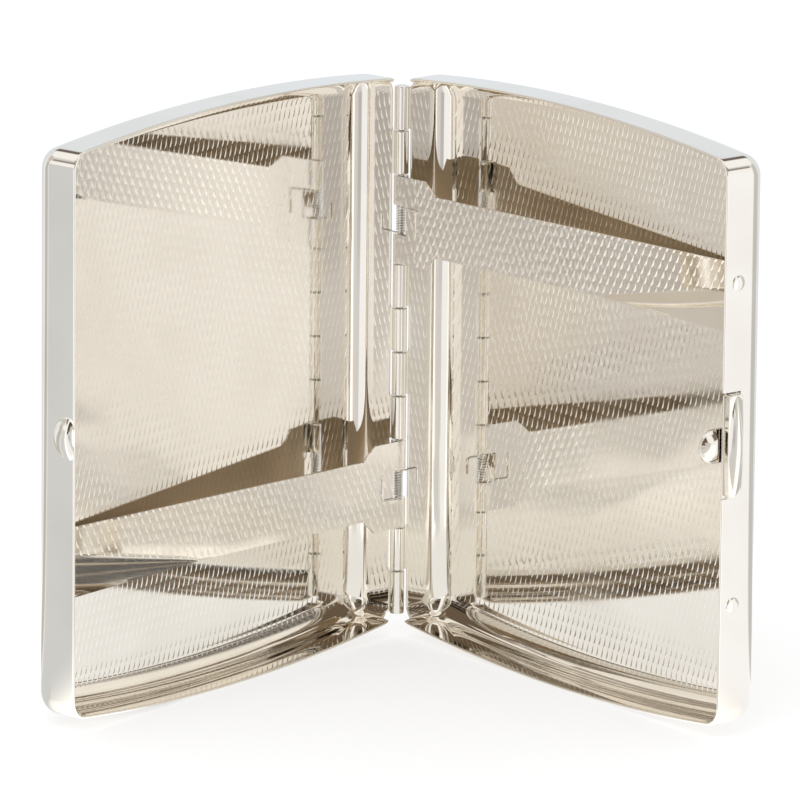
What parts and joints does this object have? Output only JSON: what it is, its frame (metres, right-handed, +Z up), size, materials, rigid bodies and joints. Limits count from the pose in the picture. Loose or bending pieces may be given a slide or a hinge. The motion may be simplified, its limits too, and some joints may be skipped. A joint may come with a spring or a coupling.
{
  "type": "cigarette case",
  "caption": "Slim hinged metal case of two shallow pressed trays with bowed ends, sprung holding arms on the hinge pin, a snap catch and a thumb piece.",
  "frame": {"origin": "middle of the footprint at the height of the lower bowed ends, with the case standing on its end and open as in the picture", "axes": "+Z up along the hinge pin; the trays open towards -Y; +X to the viewer's right, towards the tray that carries the catch"},
  "size_m": [0.117, 0.0714, 0.1],
  "materials": {
    "tray_metal": "polished plated sheet with a fine embossed diamond pattern inside",
    "hinge_metal": "polished plated tube",
    "arm_metal": "polished plated sheet with a fine embossed diamond pattern",
    "spring_steel": "bright drawn wire and strip",
    "catch_metal": "polished plated metal"
  },
  "bodies": {
    "left_half": {"left_shell": "tray_metal", "left_knuckles": "hinge_metal", "hinge_pin": "spring_steel"},
    "right_half": {"right_shell": "tray_metal", "right_knuckles": "hinge_metal", "latch_spring": "spring_steel", "upper_rivet": "catch_metal", "lower_rivet": "catch_metal"},
    "upper_holder": {"upper_arm": "arm_metal", "upper_arm_spring": "spring_steel"},
    "lower_holder": {"lower_arm": "arm_metal", "lower_arm_spring": "spring_steel"},
    "catch": {"thumb_piece": "catch_metal", "catch_nose": "catch_metal"}
  },
  "joints": [
    {"name": "lid_hinge", "type": "hinge", "parent": "left_half", "child": "right_half", "pos_m": [0, 0.0316, 0.05], "axis": [0, 0, 1], "range_deg": [-77.6, 102.4], "stiffness_Nm_per_rad": 0.003, "deforming": ["upper_arm_spring", "lower_arm_spring"]},
    {"name": "upper_arm_hinge", "type": "hinge", "parent": "right_half", "child": "upper_holder", "pos_m": [0, 0.0316, 0.05], "axis": [0, 0, -1], "range_deg": [0, 9.5], "stiffness_Nm_per_rad": 0.02, "springref_deg": -17.19, "deforming": ["upper_arm_spring"]},
    {"name": "lower_arm_hinge", "type": "hinge", "parent": "left_half", "child": "lower_holder", "pos_m": [0, 0.0316, 0.05], "axis": [0, 0, 1], "range_deg": [0, 9.5], "stiffness_Nm_per_rad": 0.02, "springref_deg": -17.19, "deforming": ["lower_arm_spring"]},
    {"name": "thumb_press", "type": "slide", "parent": "right_half", "child": "catch", "axis": [-0.6266, 0.7793, 0], "range_m": [0, 0.0012], "stiffness_N_per_m": 2000, "deforming": ["latch_spring"]}
  ]
}
